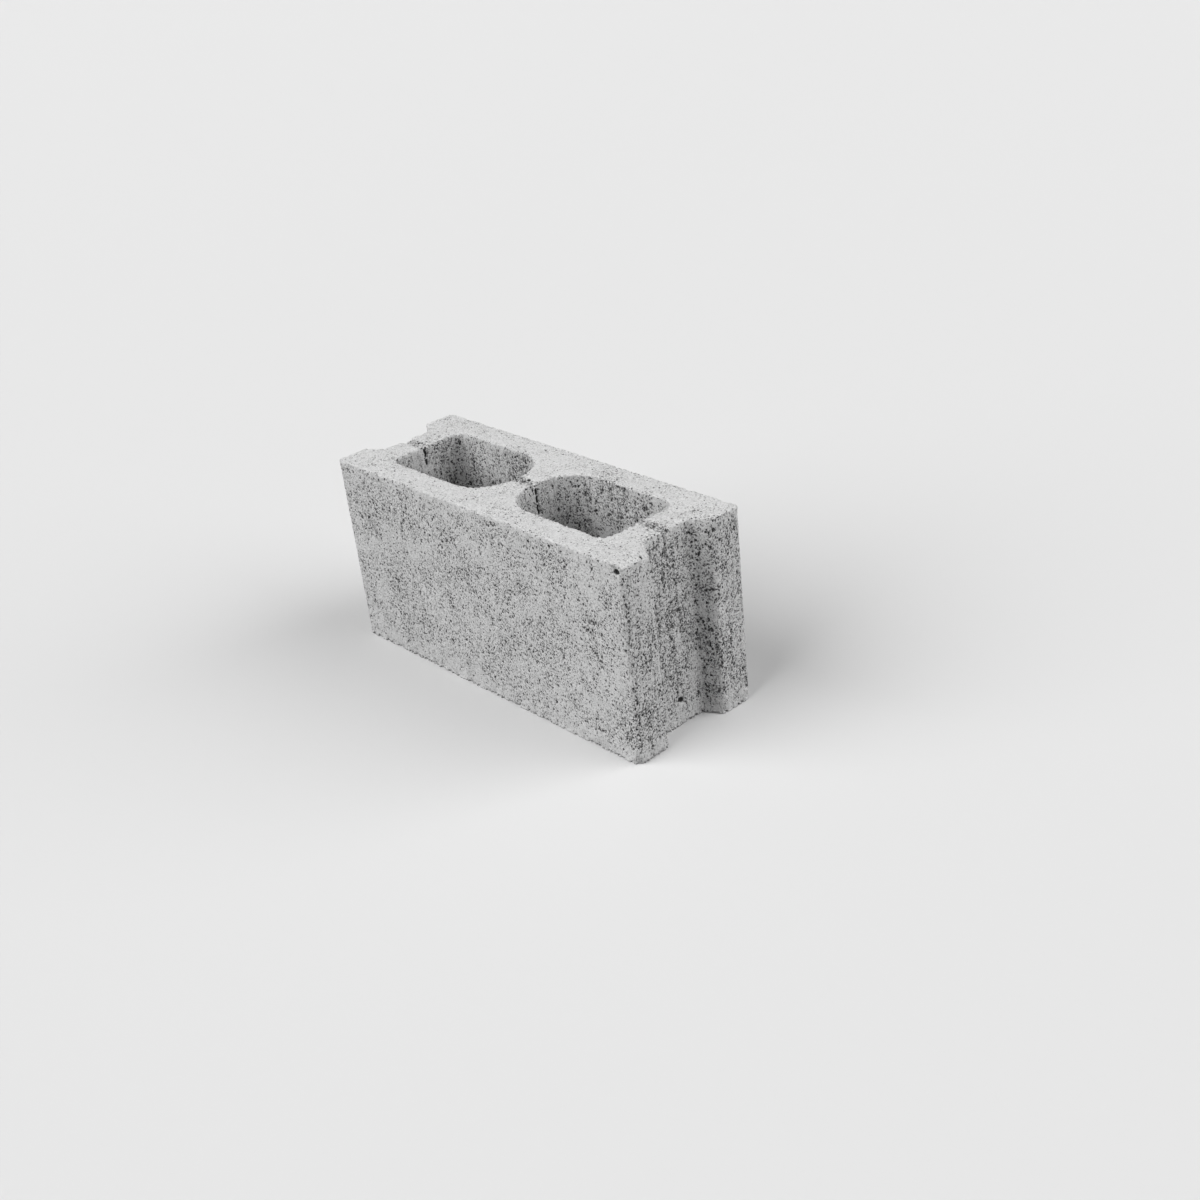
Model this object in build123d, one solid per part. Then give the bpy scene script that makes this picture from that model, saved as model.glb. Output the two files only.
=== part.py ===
"""Two-core hollow concrete block with grooved ends, 390 x 140 x 190 mm, pressed in a mould as one piece.

Millimetres. +X runs along the block, +Y through the wall, +Z up. The origin is the centre of the underside.
The block stands as it left the mould: the pressed face is on top and the pallet face is below.
"""

from build123d import *

import math
import os

# Overall size: the unit that fills a 400 x 200 mm wall grid with a 10 mm mortar joint
BLOCK_LENGTH = 390.0
BLOCK_WIDTH = 140.0
BLOCK_HEIGHT = 190.0

# Concrete left around the cores, at the top face
FACE_SHELL = 28.0
MIDDLE_WEB = 25.0
END_WEB = 29.5

# Cores: each wall leans in by the draft from the top face to the underside, so the mould can be lifted off
CORE_DRAFT = 3.0
CORE_HEEL_RADIUS = 12.0
CORE_NOSE_SHARE = 0.9  # corner radius at the middle web, as a share of half the core's width
CORE_MOUTH_RADIUS = 1.5

# End grooves: a mortar key down the whole height of each end, at the top face
GROOVE_DEPTH = 18.0
GROOVE_MOUTH = 74.5
GROOVE_FLOOR = 55.0
GROOVE_DRAFT = 2.0
GROOVE_LIP_RADIUS = 5.0
GROOVE_ROOT_RADIUS = 6.0

# Outer edges of the block
ARRIS_RADIUS = 4.0
RIM_RADIUS = 1.5

# Mark of the bar that carries the mould's cores, across the top of each web
BAR_MARK_WIDTH = 12.0
BAR_MARK_DEPTH = 2.0

OVERRUN = 5.0  # how far a cut runs past the face that it opens


def block_plan(groove_draft):
    """The block's outline seen from above, with the groove's flanks moved in by groove_draft."""
    end = BLOCK_LENGTH / 2
    side = BLOCK_WIDTH / 2
    floor_end = end - GROOVE_DEPTH
    lip = GROOVE_MOUTH / 2 - groove_draft
    root = GROOVE_FLOOR / 2 - groove_draft
    one_end = [
        (side, ARRIS_RADIUS, end),
        (lip, GROOVE_LIP_RADIUS, end),
        (root, GROOVE_ROOT_RADIUS, floor_end),
    ]
    quarters = [(1, -1), (1, 1), (-1, 1), (-1, -1)]
    points = []
    radii = []
    for turn, (x_sign, y_sign) in enumerate(quarters):
        walk = one_end if turn % 2 == 0 else one_end[::-1]
        points += [(x_sign * x, y_sign * y) for y, _, x in walk]
        radii += [radius for _, radius, _ in walk]
    return make_face(FilletPolyline(*points, radius=radii, close=True))


def solid_block():
    """The block before its cores are drawn, with its grooved ends and eased rims."""
    underside = block_plan(GROOVE_DRAFT)
    top = Pos(Z=BLOCK_HEIGHT) * block_plan(0)
    block = loft([underside, top], ruled=True)
    levels = block.edges().group_by(Axis.Z)
    return fillet(levels[0] + levels[-1], RIM_RADIUS)


def core_plan():
    """The outline of the core on the +X side, at the top face."""
    side = BLOCK_WIDTH / 2 - FACE_SHELL
    nose = MIDDLE_WEB / 2
    heel = BLOCK_LENGTH / 2 - GROOVE_DEPTH - END_WEB
    nose_radius = CORE_NOSE_SHARE * side
    points = [(nose, -side), (heel, -side), (heel, side), (nose, side)]
    radii = [nose_radius, CORE_HEEL_RADIUS, CORE_HEEL_RADIUS, nose_radius]
    return make_face(FilletPolyline(*points, radius=radii, close=True))


def tapered_core():
    """The core on the +X side: a straight prism whose wall is then leaned in towards the underside."""
    prism = extrude(core_plan(), amount=BLOCK_HEIGHT)
    wall = prism.faces().group_by(Axis.Z)[1]
    lean = math.degrees(math.atan2(CORE_DRAFT, BLOCK_HEIGHT))
    return draft(wall, Plane.XY.offset(BLOCK_HEIGHT), -lean)


def with_cores(block):
    """The block with a core on each side of the middle web, and each core's mouth eased."""
    core = tapered_core()
    block = block - core - mirror(core, about=Plane.YZ)
    pressed_face = block.faces().sort_by(Axis.Z)[-1]
    mouths = [edge for wire in pressed_face.inner_wires() for edge in wire.edges()]
    return fillet(mouths, CORE_MOUTH_RADIUS)


def bar_mark():
    """The shallow channel that the core bar leaves along the middle of the block."""
    from_floor_up = (Align.CENTER, Align.CENTER, Align.MIN)
    channel = Box(BLOCK_LENGTH, BAR_MARK_WIDTH, BAR_MARK_DEPTH + OVERRUN, align=from_floor_up)
    return Pos(Z=BLOCK_HEIGHT - BAR_MARK_DEPTH) * channel


concrete_block = with_cores(solid_block()) - bar_mark()

os.makedirs("parts", exist_ok=True)
export_step(concrete_block, "parts/concrete_block.step")
print("volume in cubic millimetres:", round(concrete_block.volume))
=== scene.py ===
"""Visual model of a two-core hollow concrete block, in metres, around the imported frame.

The block is one pressed piece. The frame gives its form, and this script gives it a worn and open skin, its
concrete, a pale floor, soft light and a camera.
"""

import bmesh
import bpy
import numpy as np
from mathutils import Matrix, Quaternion, Vector, noise


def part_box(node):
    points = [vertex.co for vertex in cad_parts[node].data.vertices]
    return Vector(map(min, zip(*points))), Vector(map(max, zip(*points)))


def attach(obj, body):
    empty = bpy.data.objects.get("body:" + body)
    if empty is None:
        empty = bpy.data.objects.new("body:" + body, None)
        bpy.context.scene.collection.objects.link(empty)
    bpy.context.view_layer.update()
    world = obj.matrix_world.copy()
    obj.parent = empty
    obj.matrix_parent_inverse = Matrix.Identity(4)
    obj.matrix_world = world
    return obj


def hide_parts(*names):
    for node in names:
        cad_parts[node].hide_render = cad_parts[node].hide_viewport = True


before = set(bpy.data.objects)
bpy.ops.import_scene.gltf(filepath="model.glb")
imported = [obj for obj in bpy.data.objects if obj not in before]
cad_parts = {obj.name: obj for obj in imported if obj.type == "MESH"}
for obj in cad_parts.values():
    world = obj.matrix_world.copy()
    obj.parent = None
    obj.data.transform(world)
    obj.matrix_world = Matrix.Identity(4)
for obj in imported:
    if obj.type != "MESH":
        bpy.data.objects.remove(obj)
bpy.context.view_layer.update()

# The pressed piece
# A hollow block of grey semi-dry concrete, vibrated and pressed in a steel mould and stripped while green.
# Its section is the frame's. The skin is divided evenly and finely here, so that wear can be cut into it.
MM = 0.001
SKIN_SPACING = 0.8 * MM
WELD = 0.01 * MM

half_length, half_width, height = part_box("concrete_block")[1]


def settle(piece):
    """Turns the piece's modifiers into its own mesh."""
    graph = bpy.context.evaluated_depsgraph_get()
    shaped = bpy.data.meshes.new_from_object(piece.evaluated_get(graph))
    piece.modifiers.clear()
    rough = piece.data
    piece.data = shaped
    bpy.data.meshes.remove(rough)


def evenly_divided(node, spacing):
    """A new piece with the form of a frame node and faces of about one size."""
    welded = bmesh.new()
    welded.from_mesh(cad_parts[node].data)
    bmesh.ops.remove_doubles(welded, verts=welded.verts, dist=WELD)
    mesh = bpy.data.meshes.new("block_skin")
    welded.to_mesh(mesh)
    welded.free()
    piece = bpy.data.objects.new("pressed_block", mesh)
    bpy.context.collection.objects.link(piece)
    remesh = piece.modifiers.new("even faces", "REMESH")
    remesh.mode = "VOXEL"
    remesh.voxel_size = spacing
    settle(piece)
    return piece


def read(mesh, what):
    """A mesh's vertex places ("co") or normals ("normal") as rows."""
    flat = np.empty(3 * len(mesh.vertices), dtype=np.float32)
    mesh.vertices.foreach_get(what, flat)
    return flat.reshape(-1, 3).astype(float)


def keep(mesh, name, values):
    """Stores a number or a vector for each vertex, for the relief and the finish to read."""
    kind, field = ("FLOAT", "value") if values.ndim == 1 else ("FLOAT_VECTOR", "vector")
    mesh.attributes.new(name, kind, "POINT").data.foreach_set(field, values.astype(np.float32).ravel())


def ramp(values, start, end):
    """0 up to start and 1 from end on, with a smooth rise between them."""
    share = np.clip((values - start) / (end - start), 0, 1)
    return share * share * (3 - 2 * share)


block = evenly_divided("concrete_block", SKIN_SPACING)

# The loose strip
# The bar that carries the mould's cores keeps the press off a strip of each web, so the fill there stays
# loose. It is low and ragged on the left web, pitted on the middle one and nearly level on the right one.
STRIP_WIDTH = 12.0 * MM
STRIP_DEPTH = 2.0 * MM
STRIP_SLOPE = 3.0 * MM
STRIP_WANDER = 2.0 * MM
STRIP_WANDER_LENGTH = 6.0 * MM
STRIP_BLEND = 6.0 * MM
LOOSE_FROM, LOOSE_FULL = 5.0 * MM, 3.0 * MM  # below the top
WEB_PLACES = np.array([-162.0, 0.0, 162.0]) * MM
STRIP_OPEN_SHARES = [0.85, 0.7, 0.2]


def with_loose_strip(place):
    """The vertex places with the bar's clean channel turned into an uneven strip."""
    step = STRIP_WIDTH / 2
    slope = STRIP_SLOPE / 2
    low = height - STRIP_DEPTH
    rows = np.flatnonzero((np.abs(place[:, 1]) < STRIP_WIDTH) & (place[:, 2] > low - STRIP_BLEND))
    x, y, z = place[rows].T
    side = np.sign(y) * STRIP_WIDTH
    wander = np.array([noise.noise(Vector((at, by, 0)) / STRIP_WANDER_LENGTH) for at, by in zip(x, side)])
    inside = 1 - ramp(np.abs(y) + wander * STRIP_WANDER, step - slope, step + slope)
    level = height - STRIP_DEPTH * inside * np.interp(x, WEB_PLACES, STRIP_OPEN_SHARES)
    before = np.where(np.abs(y) < step, low, height)
    on_step = (np.abs(np.abs(y) - step) < SKIN_SPACING) & (z > low)
    moved = z + ramp(z, low - STRIP_BLEND, low - SKIN_SPACING) * (level - before)
    place[rows, 2] = np.where(on_step, level, moved)
    return place


place = with_loose_strip(read(block.data, "co"))

# Chips and worn facets
# What the edges lost when the green block was stripped and stacked. A chip is a rough ball, centred outside
# the concrete, that the skin is pushed out of. A facet is a rough plane that the end is worn down to.
CHIPS = [
    # centre and radius, in millimetres
    ((190.5, -74.5, 192.5), 7.5),
    ((-180.0, -3.5, 193.0), 9.0),
]
FACETS = [
    # a point of the facet, the way that it faces, and the y where it starts and ends, in millimetres
    ((195.0, -50.0, 187.3), (0.4, 0.0, 0.92), -75.0, -26.0),
    ((195.0, -49.0, 188.0), (0.52, 0.37, 0.77), -75.0, -24.0),
    ((193.2, -50.0, 0.0), (0.92, 0.0, -0.39), -75.0, -28.0),
    ((190.5, -66.5, 0.0), (0.65, -0.65, -0.4), -75.0, -40.0),
    ((190.0, -35.0, 0.0), (0.65, 0.5, -0.58), -50.0, -26.0),
]
BREAK_GRAIN = 2.6 * MM
CHIP_ROUGH_SHARE = 0.3
FACET_ROUGH = 0.7 * MM


def bitten(place):
    """The vertex places with every chip taken out."""
    for centre, radius in CHIPS:
        away = place - np.array(centre) * MM
        far = np.linalg.norm(away, axis=1)
        for row in np.flatnonzero(far < radius * MM * (1 + CHIP_ROUGH_SHARE)):
            wobble = noise.noise(Vector(place[row]) / BREAK_GRAIN)
            reach = radius * MM * (1 + CHIP_ROUGH_SHARE * wobble)
            if far[row] < reach:
                place[row] += away[row] * (reach / far[row] - 1)
    return place


def worn_down(place):
    """The vertex places with every facet ground off."""
    for point, faces, start, end in FACETS:
        faces = np.array(faces) / np.linalg.norm(faces)
        above = (place - np.array(point) * MM) @ faces
        within = (place[:, 1] > start * MM) & (place[:, 1] < end * MM)
        for row in np.flatnonzero(within & (above > -FACET_ROUGH)):
            wobble = FACET_ROUGH * noise.noise(Vector(place[row]) / BREAK_GRAIN)
            place[row] -= faces * max(above[row] + wobble, 0)
    return place


def reshape(mesh, place):
    """Moves a mesh's vertices to these places."""
    mesh.vertices.foreach_set("co", place.astype(np.float32).ravel())
    mesh.update()


place = worn_down(bitten(place))
reshape(block.data, place)
keep(block.data, "rest_place", place)

# Zones of the skin
# The shoes of the press leave the top smooth. The mould drags the walls open as it is lifted, most of all in
# the grooves and cores, and leaves them more closed at their heads and at the foot of the outer ones.
HEAD_BAND = 4.0 * MM
DRAWN_HEAD = 12.0 * MM
FOOT_BAND = 24.0 * MM
BAND_BLEND = 2.0 * MM
SIDE_BLEND = 2.0 * MM
CORE_FROM_END = 35.0 * MM
CORE_FROM_SIDE = 20.0 * MM
GROOVE_HALF = 38.0 * MM
LEVEL_FROM, LEVEL_FULL = 0.5, 0.85  # upright part of the normal where skin starts and ends turning level

# Openness: 0 is closed skin and 1 is skin drawn open
TOP_OPEN, TOP_BACK_MORE = 0.1, 0.16
UNDERSIDE_OPEN = 0.28
SIDE_OPEN = 0.76
CORE_OPEN = 1.02
END_OPEN, GROOVE_MORE = 0.97, 0.2
STRIP_OPEN = 1.3
SIDE_HEAD_SHARE, SIDE_FOOT_SHARE = 0.4, 0.75  # how much of the openness the head and the foot take away
END_HEAD_SHARE, END_FOOT_SHARE = 0.6, 0.7
CORE_HEAD_SHARE = 0.2
SIDE_DRAG_SHARE = 0.3

facing = read(block.data, "normal")
x, y, z = place.T
up = ramp(facing[:, 2], LEVEL_FROM, LEVEL_FULL)
down = ramp(-facing[:, 2], LEVEL_FROM, LEVEL_FULL)
wall = 1 - np.maximum(up, down)
across_strip = 1 - ramp(np.abs(y), (STRIP_WIDTH - STRIP_SLOPE) / 2, (STRIP_WIDTH + STRIP_SLOPE) / 2)
strip = across_strip * ramp(z, height - LOOSE_FROM, height - LOOSE_FULL)
pressed = up * (1 - strip)
broad_side = ramp(np.abs(y), half_width - 2 * SIDE_BLEND, half_width - SIDE_BLEND) * wall
core_wall = wall * (np.abs(x) < half_length - CORE_FROM_END) * (np.abs(y) < half_width - CORE_FROM_SIDE)
end_wall = wall * (1 - broad_side) * (1 - core_wall)
groove = end_wall * (np.abs(y) < GROOVE_HALF)
head = ramp(z, height - HEAD_BAND - BAND_BLEND, height - HEAD_BAND)
foot = 1 - ramp(z, 0, FOOT_BAND)
drawn_head = ramp(z, height - DRAWN_HEAD, height - HEAD_BAND)
top_openness = TOP_OPEN + TOP_BACK_MORE * ramp(y, -half_width / 2, half_width / 2)
side_openness = SIDE_OPEN * (1 - SIDE_HEAD_SHARE * head) * (1 - SIDE_FOOT_SHARE * foot)
end_openness = END_OPEN * end_wall + GROOVE_MORE * groove
end_openness *= 1 - END_FOOT_SHARE * foot
end_openness *= 1 - END_HEAD_SHARE * drawn_head
core_openness = CORE_OPEN * (1 - CORE_HEAD_SHARE * drawn_head)
openness = top_openness * pressed + UNDERSIDE_OPEN * down
openness += side_openness * broad_side + core_openness * core_wall + end_openness
openness = np.maximum(openness, STRIP_OPEN * strip)
drag = end_wall + core_wall + SIDE_DRAG_SHARE * broad_side

keep(block.data, "pressed", pressed)
keep(block.data, "strip", strip)
keep(block.data, "openness", openness)
keep(block.data, "drag", drag)

# Holes and slits
# The deepest pores, where fill was missing, three shallow dents under the chipped corner, and the thin tears
# below the strip, where the bar's edge drags the loose concrete of each web down. Each gets painted shade.
HOLES = [
    # middle of the mouth, radius and depth, in millimetres
    ((190.2, -70.0, 183.9), 2.7, 3.4),
    ((188.4, -70.0, 183.5), 2.7, 3.4),
    ((183.8, -70.0, 187.6), 2.4, 0.9),
    ((186.6, -70.0, 187.6), 2.6, 0.9),
    ((189.6, -70.0, 187.4), 2.4, 0.8),
    ((192.2, -44.0, 187.5), 2.2, 3.2),
    ((177.0, -0.4, 25.3), 2.6, 3.2),
    ((177.0, 2.4, 23.9), 2.8, 3.4),
    ((92.3, -70.0, 26.2), 1.9, 2.0),
    ((-3.9, 1.8, 188.6), 3.4, 4.4),
    ((-1.6, 4.9, 188.6), 2.6, 3.4),
    ((7.1, 0.5, 188.6), 1.7, 2.0),
    ((-163.5, 3.9, 188.3), 1.8, 2.2),
    ((-151.5, -3.2, 188.3), 2.0, 2.4),
    ((-147.3, -1.4, 187.5), 2.4, 2.6),
]
SLITS = [
    # the wall's x, the slit's y, top, bottom and width, in millimetres, and the share of the full depth
    (-147.0, -1.4, 188.0, 167.0, 1.3, 1.0),
    (13.0, 0.8, 188.0, 158.0, 1.1, 1.0),
    (177.0, -2.4, 184.0, 162.0, 0.8, 0.6),
]
SLIT_DEPTH = 2.4 * MM
SLIT_WANDER = 1.4 * MM
SLIT_GRAIN = 4.0 * MM
SLIT_FADE = 4.0 * MM
SLIT_BROKEN, SLIT_WHOLE = -0.45, -0.1
WALL_REACH = 6.0 * MM

# hollow is the painted shade inside the holes, dents and slits, and sunk is their depth
hollow = np.zeros(len(place))
sunk = np.zeros(len(place))
for mouth, radius, deep in HOLES:
    off = np.linalg.norm(place - np.array(mouth) * MM, axis=1) / (radius * MM)
    dip = np.sqrt(np.clip(1 - off * off, 0, 1))
    hollow = np.maximum(hollow, dip * min(deep / radius, 1))
    sunk = np.maximum(sunk, dip * deep * MM)
for wall_x, slit_y, top, bottom, width, deep_share in SLITS:
    # the wall's x also picks the stretch of noise that the slit wanders and breaks by
    beside = np.maximum(np.abs(x - wall_x * MM), np.abs(y - slit_y * MM))
    rows = np.flatnonzero((beside < WALL_REACH) & (z > bottom * MM) & (wall > 0))
    levels = z[rows]
    way = np.array([noise.noise(Vector((wall_x, 0, level)) / SLIT_GRAIN) for level in levels])
    whole = np.array([noise.noise(Vector((0, wall_x, level)) / SLIT_GRAIN) for level in levels])
    across = np.abs(y[rows] - slit_y * MM - way * SLIT_WANDER) / (width * MM)
    along = ramp(levels, bottom * MM, bottom * MM + SLIT_FADE)
    along *= 1 - ramp(levels, top * MM, top * MM + SLIT_FADE)
    torn = np.exp(-across * across) * along * ramp(whole, SLIT_BROKEN, SLIT_WHOLE)
    torn = torn * deep_share * wall[rows]
    hollow[rows] = np.maximum(hollow[rows], torn)
    sunk[rows] = np.maximum(sunk[rows], torn * SLIT_DEPTH)
keep(block.data, "hollow", hollow)
keep(block.data, "sunk", sunk)

# Worn arrises
# Every outer edge crumbles a little, most at the foot. The pull is the way from each vertex to where it
# would lie on a softened block, which is nothing on the flats.
SOFT_REACH = 2.0 * MM
EDGE_STARTS, EDGE_FULL = 0.03 * MM, 0.3 * MM
FOOT_WEAR = 8.0 * MM
FOOT_WEAR_SHARE = 1.6

soft = block.copy()
soft.data = block.data.copy()
bpy.context.collection.objects.link(soft)
smoothing = soft.modifiers.new("softened", "SMOOTH")
smoothing.factor = 0.5
smoothing.iterations = round((SOFT_REACH / (smoothing.factor * SKIN_SPACING)) ** 2)
settle(soft)
pull = read(soft.data, "co") - place
bpy.data.objects.remove(soft)
edge = ramp(-(pull * facing).sum(axis=1), EDGE_STARTS, EDGE_FULL)
keep(block.data, "edge_pull", pull * edge[:, None])
keep(block.data, "edge", edge * (1 + FOOT_WEAR_SHARE * (1 - ramp(z, FOOT_WEAR / 2, FOOT_WEAR))))

# Relief
# The open skin itself: gaps between the grains, loose clods along the strip, and crumbs lost from the edges.
# The larger gaps are cut into the mesh, and the concrete below gets painted shade in all of them, so one
# function finds the gaps for both.
MIDDLE = 0.5  # of a noise, of a distance between cells, and of a chance


def put(tree, kind, values, **settings):
    """Adds a node with these settings, and sets or links its inputs by name or number."""
    node = tree.nodes.new(kind)
    for name, value in settings.items():
        setattr(node, name, value)
    for key, value in values.items():
        if isinstance(value, bpy.types.NodeSocket):
            tree.links.new(value, node.inputs[key])
        else:
            node.inputs[key].default_value = value
    return node


def sum_of(tree, operation, *terms):
    """The result of a math node."""
    return put(tree, "ShaderNodeMath", dict(enumerate(terms)), operation=operation).outputs[0]


def vector_of(tree, operation, *terms):
    """The result of a vector math node, other than a scaling."""
    return put(tree, "ShaderNodeVectorMath", dict(enumerate(terms)), operation=operation).outputs[0]


def scaled(tree, vector, scale):
    """A vector times a number."""
    values = {"Vector": vector, "Scale": scale}
    return put(tree, "ShaderNodeVectorMath", values, operation="SCALE").outputs[0]


def risen(tree, value, start, end, low=0.0, high=1.0):
    """low up to start and high from end on, with a smooth rise between them."""
    values = {"Value": value, "From Min": start, "From Max": end, "To Min": low, "To Max": high}
    return put(tree, "ShaderNodeMapRange", values, interpolation_type="SMOOTHSTEP").outputs[0]


def speckle(tree, place, size, detail=2.0, roughness=0.5):
    """Even noise about 0, with blots of about this size."""
    values = {"Vector": place, "Scale": 1 / size, "Detail": detail, "Roughness": roughness}
    return sum_of(tree, "SUBTRACT", put(tree, "ShaderNodeTexNoise", values).outputs[0], MIDDLE)


def kept(tree, name, vector=False):
    """A value that the skin keeps for each vertex."""
    if tree.type == "GEOMETRY":
        kind = "FLOAT_VECTOR" if vector else "FLOAT"
        node = put(tree, "GeometryNodeInputNamedAttribute", {"Name": name}, data_type=kind)
        return node.outputs["Attribute"]
    node = put(tree, "ShaderNodeAttribute", {}, attribute_name=name)
    return node.outputs["Vector" if vector else "Fac"]


DOT_RAGGED_SHARE = 0.5
DOT_WARP_SHARE = 0.9
DOT_SLOPE = 0.6
DOT_CHANCE = 0.2


def dots(tree, place, spacing):
    """Uneven about 0, and lowest in scattered ragged dots about this far apart."""
    ragged = DOT_RAGGED_SHARE * spacing
    warp = DOT_WARP_SHARE * spacing
    values = {"Vector": place, "Scale": 1 / ragged, "Detail": 1.0}
    shift = put(tree, "ShaderNodeTexNoise", values).outputs["Color"]
    moved = vector_of(tree, "MULTIPLY_ADD", shift, (warp, warp, warp), place)
    cell = put(tree, "ShaderNodeTexVoronoi", {"Vector": moved, "Scale": 1 / spacing}).outputs
    chance = put(tree, "ShaderNodeSeparateXYZ", {0: cell["Color"]}).outputs[0]
    far = sum_of(tree, "MULTIPLY", sum_of(tree, "SUBTRACT", cell["Distance"], MIDDLE), DOT_SLOPE)
    return sum_of(tree, "MULTIPLY_ADD", sum_of(tree, "SUBTRACT", chance, MIDDLE), DOT_CHANCE, far)


def lumps(tree, place, size):
    """Even noise about 0, with drawn-out lows of about this size."""
    return speckle(tree, place, size, detail=1.0)


PORES = {
    # form, size, where voids begin on closed skin, how much sooner on loose skin, slope of the sides
    "pit": (dots, 4.6 * MM, 0.28, 0.07, 3.4),
    "pore": (dots, 2.6 * MM, 0.225, 0.1, 3.2),
    "grain": (lumps, 1.8 * MM, 0.2, 0.1, 7.0),
    "pin": (lumps, 1.2 * MM, 0.18, 0.1, 7.0),
}
DEEPEST_PORE = 2.4 * MM
WALL_STRETCH_SHARES = (1.0, 1.0, 0.85)
DRAWN_STRETCH_SHARES = (1.0, 1.0, 0.15)
PATCH_SIZE, PATCH_WEIGHT = 30.0 * MM, 2.0
CLUSTER_SIZE, CLUSTER_WEIGHT = 8.0 * MM, 1.0
STREAK_SIZE, STREAK_WEIGHT = 4.0 * MM, 2.2


def pores(tree, place, openness, drag):
    """For each size of pore: how far the fill falls short, and how deep the void is."""
    patch = speckle(tree, place, PATCH_SIZE)
    cluster = speckle(tree, place, CLUSTER_SIZE, detail=1.0)
    drawn_out = vector_of(tree, "MULTIPLY", place, DRAWN_STRETCH_SHARES)
    streak = sum_of(tree, "MULTIPLY", speckle(tree, drawn_out, STREAK_SIZE, detail=1.0), drag)
    loose = sum_of(tree, "MULTIPLY_ADD", patch, PATCH_WEIGHT, openness)
    loose = sum_of(tree, "MULTIPLY_ADD", cluster, CLUSTER_WEIGHT, loose)
    loose = sum_of(tree, "MULTIPLY_ADD", streak, STREAK_WEIGHT, loose)
    stretched = vector_of(tree, "MULTIPLY", place, WALL_STRETCH_SHARES)
    found = {}
    for name, (form, size, limit, fall, slope) in PORES.items():
        fill = form(tree, stretched, size)
        gap = sum_of(tree, "MULTIPLY_ADD", loose, fall, sum_of(tree, "SUBTRACT", -limit, fill))
        gap = sum_of(tree, "MAXIMUM", gap, 0.0)
        depth = sum_of(tree, "MINIMUM", sum_of(tree, "MULTIPLY", gap, size * slope), DEEPEST_PORE)
        found[name] = {"gap": gap, "depth": depth}
    return found


WAVE_SIZE, WAVE_HEIGHT = 14.0 * MM, 0.3 * MM
CLOD_SIZE, CLOD_HEIGHT = 3.4 * MM, 6.0 * MM
COARSE_CRUMB, FINE_CRUMB, CRUMB_HEIGHT = 4.2 * MM, 2.1 * MM, 5.0 * MM
MOST_CRUMB = 0.09  # crumbs are lost from an edge, and hardly any stand out from it
WEAR_SIZE = 7.0 * MM
WEAR_FROM, WEAR_FULL = -0.05, 0.2
MOST_WEAR_SHARE = 0.8

relief = bpy.data.node_groups.new("block relief", "GeometryNodeTree")
relief.interface.new_socket("Geometry", in_out="INPUT", socket_type="NodeSocketGeometry")
relief.interface.new_socket("Geometry", in_out="OUTPUT", socket_type="NodeSocketGeometry")
entry = relief.nodes.new("NodeGroupInput")
here = kept(relief, "rest_place", vector=True)
outward = relief.nodes.new("GeometryNodeInputNormal").outputs[0]
skin = pores(relief, here, kept(relief, "openness"), kept(relief, "drag"))
rise = sum_of(relief, "MULTIPLY", speckle(relief, here, WAVE_SIZE), WAVE_HEIGHT)
clods = speckle(relief, here, CLOD_SIZE, detail=3.0, roughness=0.6)
clods = sum_of(relief, "MULTIPLY", clods, kept(relief, "strip"))
rise = sum_of(relief, "MULTIPLY_ADD", clods, CLOD_HEIGHT, rise)
coarse = speckle(relief, here, COARSE_CRUMB, detail=1.0)
fine = speckle(relief, here, FINE_CRUMB, detail=1.0)
crumbs = sum_of(relief, "MINIMUM", sum_of(relief, "ADD", coarse, fine), MOST_CRUMB)
crumbs = sum_of(relief, "MULTIPLY", crumbs, kept(relief, "edge"))
rise = sum_of(relief, "MULTIPLY_ADD", crumbs, CRUMB_HEIGHT, rise)
pits = sum_of(relief, "MAXIMUM", skin["pit"]["depth"], skin["pore"]["depth"])
pits = sum_of(relief, "MAXIMUM", pits, kept(relief, "sunk"))
rise = sum_of(relief, "SUBTRACT", rise, pits)
wear = speckle(relief, here, WEAR_SIZE, detail=3.0, roughness=0.6)
wear = risen(relief, wear, WEAR_FROM, WEAR_FULL, high=MOST_WEAR_SHARE)
worn = scaled(relief, kept(relief, "edge_pull", vector=True), wear)
offset = vector_of(relief, "ADD", scaled(relief, outward, rise), worn)
moved = put(relief, "GeometryNodeSetPosition", {"Geometry": entry.outputs[0], "Offset": offset})
put(relief, "NodeGroupOutput", {0: moved.outputs[0]})

cut = block.modifiers.new("relief", "NODES")
cut.node_group = relief
settle(block)

# A skin of fewer faces
# Faces are kept where the relief needs them, and the block stands flat on its underside.
MOST_TRIANGLES = 190_000
triangles = sum(len(face.vertices) - 2 for face in block.data.polygons)
thinning = block.modifiers.new("fewer faces", "DECIMATE")
thinning.ratio = min(1.0, MOST_TRIANGLES / triangles)
thinning.use_collapse_triangulate = True
settle(block)
place = read(block.data, "co")
place[:, 2] = np.maximum(place[:, 2], 0)
reshape(block.data, place)
block.data.shade_smooth()

# The concrete
# Grey cement paste around sand and small stone, matt and slightly uneven in tone. The gaps between the
# grains get painted shade, few on the pressed top and many on the drawn walls.
PASTE = (0.58, 0.58, 0.58)
# painted shade for each size of gap between the grains, and the gap at which it is full
VOID_SHADE_SHARES = {"pit": 0.88, "pore": 0.84, "grain": 0.58, "pin": 0.52}
FULL_SHADE_GAP = 0.06
TOP_FULL_SHADE_GAP = 0.03
# painted shade inside the holes, dents and slits
HOLE_SHADE_SHARE = 0.95
HOLE_SHADE_FROM, HOLE_SHADE_FULL = 0.1, 0.6
DUST_SIZE, DUST_TONE, DUST_HEIGHT = 1.2 * MM, 0.7, 0.7 * MM
BLOTCH_SIZE, BLOTCH_TONE = 45.0 * MM, 0.16
SAND_SIZE, SAND_TONE = 1.5 * MM, 0.2
PRESSED_TONE = 0.07
WALL_ROUGHNESS, PRESSED_SMOOTHER = 0.94, -0.12
SPECULAR = 0.3

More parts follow.
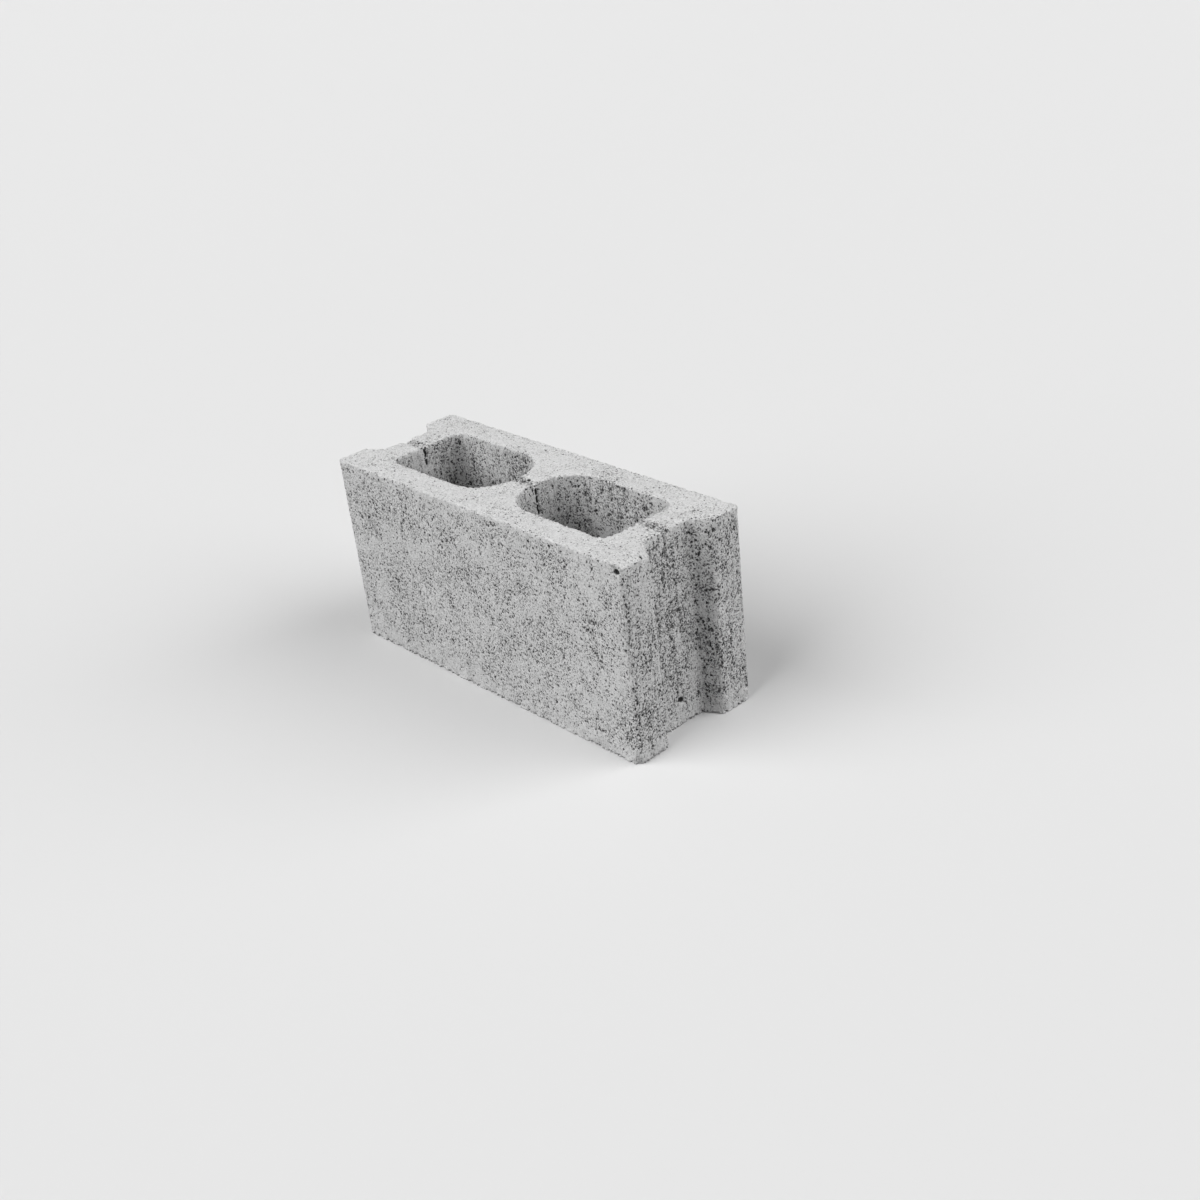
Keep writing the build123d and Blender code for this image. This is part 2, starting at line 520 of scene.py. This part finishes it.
concrete = bpy.data.materials.new("grey_concrete")
concrete.use_nodes = True
tree = concrete.node_tree
shader = tree.nodes["Principled BSDF"]
here = kept(tree, "rest_place", vector=True)
pressed = kept(tree, "pressed")
skin = pores(tree, here, kept(tree, "openness"), kept(tree, "drag"))
dust = speckle(tree, here, DUST_SIZE, detail=3.0, roughness=0.7)

tone = sum_of(tree, "MULTIPLY_ADD", dust, DUST_TONE, 1.0)
blotches = speckle(tree, here, BLOTCH_SIZE, detail=3.0)
tone = sum_of(tree, "MULTIPLY_ADD", blotches, BLOTCH_TONE, tone)
sand = put(tree, "ShaderNodeTexVoronoi", {"Vector": here, "Scale": 1 / SAND_SIZE}).outputs["Color"]
tint = put(tree, "ShaderNodeSeparateXYZ", {0: sand}).outputs[0]
tone = sum_of(tree, "MULTIPLY_ADD", sum_of(tree, "SUBTRACT", tint, MIDDLE), SAND_TONE, tone)
# the level pressed top is made 7 % lighter
tone = sum_of(tree, "MULTIPLY_ADD", pressed, PRESSED_TONE, tone)
# painted shade: dark in the holes, dents and slits and in the gaps between the grains, where shade falls
painted_shade = risen(tree, kept(tree, "hollow"), HOLE_SHADE_FROM, HOLE_SHADE_FULL, high=HOLE_SHADE_SHARE)
full_shade_gap = sum_of(tree, "MULTIPLY_ADD", pressed, TOP_FULL_SHADE_GAP - FULL_SHADE_GAP, FULL_SHADE_GAP)
for name, shade_share in VOID_SHADE_SHARES.items():
    painted_shade = sum_of(tree, "MAXIMUM", painted_shade, risen(tree, skin[name]["gap"], 0.0, full_shade_gap, high=shade_share))
tone = sum_of(tree, "MULTIPLY", tone, sum_of(tree, "SUBTRACT", 1.0, painted_shade))
tree.links.new(scaled(tree, PASTE, tone), shader.inputs["Base Color"])

roughness = sum_of(tree, "MULTIPLY_ADD", pressed, PRESSED_SMOOTHER, WALL_ROUGHNESS)
tree.links.new(roughness, shader.inputs["Roughness"])
shader.inputs["Specular IOR Level"].default_value = SPECULAR

fine_pits = sum_of(tree, "MAXIMUM", skin["pore"]["depth"], skin["pin"]["depth"])
raised = sum_of(tree, "SUBTRACT", sum_of(tree, "MULTIPLY", dust, DUST_HEIGHT), fine_pits)
bump = put(tree, "ShaderNodeBump", {"Height": raised, "Distance": 1.0, "Strength": 1.0})
tree.links.new(bump.outputs[0], shader.inputs["Normal"])

block.data.materials.clear()
block.data.materials.append(concrete)
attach(block, "root")
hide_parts("concrete_block")

# The floor
# A plain pale studio floor of matt paper, far wider than the view. It throws less light back at the block
# than it shows to the camera.
FLOOR_HALF = 40.0
FLOOR_CORNER_SHARES = [(-1, -1, 0), (1, -1, 0), (1, 1, 0), (-1, 1, 0)]
FLOOR_SEEN = 0.7
FLOOR_THROWN = 0.3
FLOOR_ROUGHNESS = 0.9
floor_mesh = bpy.data.meshes.new("studio_floor")
corners = [FLOOR_HALF * Vector(corner) for corner in FLOOR_CORNER_SHARES]
floor_mesh.from_pydata(corners, [], [range(len(corners))])
floor = bpy.data.objects.new("studio_floor", floor_mesh)
bpy.context.collection.objects.link(floor)


def in_view(tree):
    """1 for a ray from the camera, or one that gloss or glass sends on, and 0 for thrown light."""
    ray = put(tree, "ShaderNodeLightPath", {}).outputs
    mirrored = sum_of(tree, "MAXIMUM", ray["Is Glossy Ray"], ray["Is Transmission Ray"])
    return sum_of(tree, "MAXIMUM", ray["Is Camera Ray"], mirrored)


paper = bpy.data.materials.new("pale_floor")
paper.use_nodes = True
sheet = paper.node_tree.nodes["Principled BSDF"]
shade = risen(paper.node_tree, in_view(paper.node_tree), 0.0, 1.0, FLOOR_THROWN, FLOOR_SEEN)
paper.node_tree.links.new(shade, sheet.inputs["Base Color"])
sheet.inputs["Roughness"].default_value = FLOOR_ROUGHNESS
floor_mesh.materials.append(paper)

# Light
# A faint sky all round, a wide key lamp from the front left, a wide fill from behind on the right, and a
# weak lamp from high up behind. In view, the sky is a pale backdrop.
scene = bpy.context.scene
scene.view_settings.view_transform = "Standard"
SKY_STRENGTH = 0.06
BACKDROP = 0.88
sky = bpy.data.worlds.new("soft_sky")
sky.use_nodes = True
glow = risen(sky.node_tree, in_view(sky.node_tree), 0.0, 1.0, SKY_STRENGTH, BACKDROP)
sky.node_tree.links.new(glow, sky.node_tree.nodes["Background"].inputs["Strength"])
sky.node_tree.nodes["Background"].inputs["Color"].default_value = (1.0, 1.0, 1.0, 1.0)
scene.world = sky
LAMPS = [
    # name, direction to the lamp, angle across in degrees, strength
    ("front_left", (-0.24, -0.73, 0.64), 60, 3.05),
    ("back_right", (0.71, 0.5, 0.5), 60, 2.2),
    ("back", (0.32, 0.56, 0.77), 60, 0.35),
]
for name, towards, across, strength in LAMPS:
    lamp = bpy.data.lights.new(name, "SUN")
    lamp.angle = np.radians(across)
    lamp.energy = strength
    holder = bpy.data.objects.new(name, lamp)
    holder.rotation_mode = "QUATERNION"
    holder.rotation_quaternion = Vector(towards).to_track_quat("Z", "Y")
    bpy.context.collection.objects.link(holder)

# The camera
# At the photograph's place, aimed at a point on the block's middle plane, and leaning a little.
CAMERA_PLACE = Vector((1.0033, -0.7871, 0.7321))
CAMERA_AIM = Vector((0.0846, 0.0, 0.095))
CAMERA_LEAN = 6.345  # degrees
CAMERA_LENS = 45.976
SENSOR = 36.0
view = bpy.data.cameras.new("photo_view")
view.lens = CAMERA_LENS
view.sensor_width = SENSOR
camera = bpy.data.objects.new("photo_view", view)
camera.location = CAMERA_PLACE
camera.rotation_mode = "QUATERNION"
level = (CAMERA_AIM - CAMERA_PLACE).to_track_quat("-Z", "Y")
camera.rotation_quaternion = level @ Quaternion((0, 0, 1), -np.radians(CAMERA_LEAN))
bpy.context.collection.objects.link(camera)
scene.camera = camera
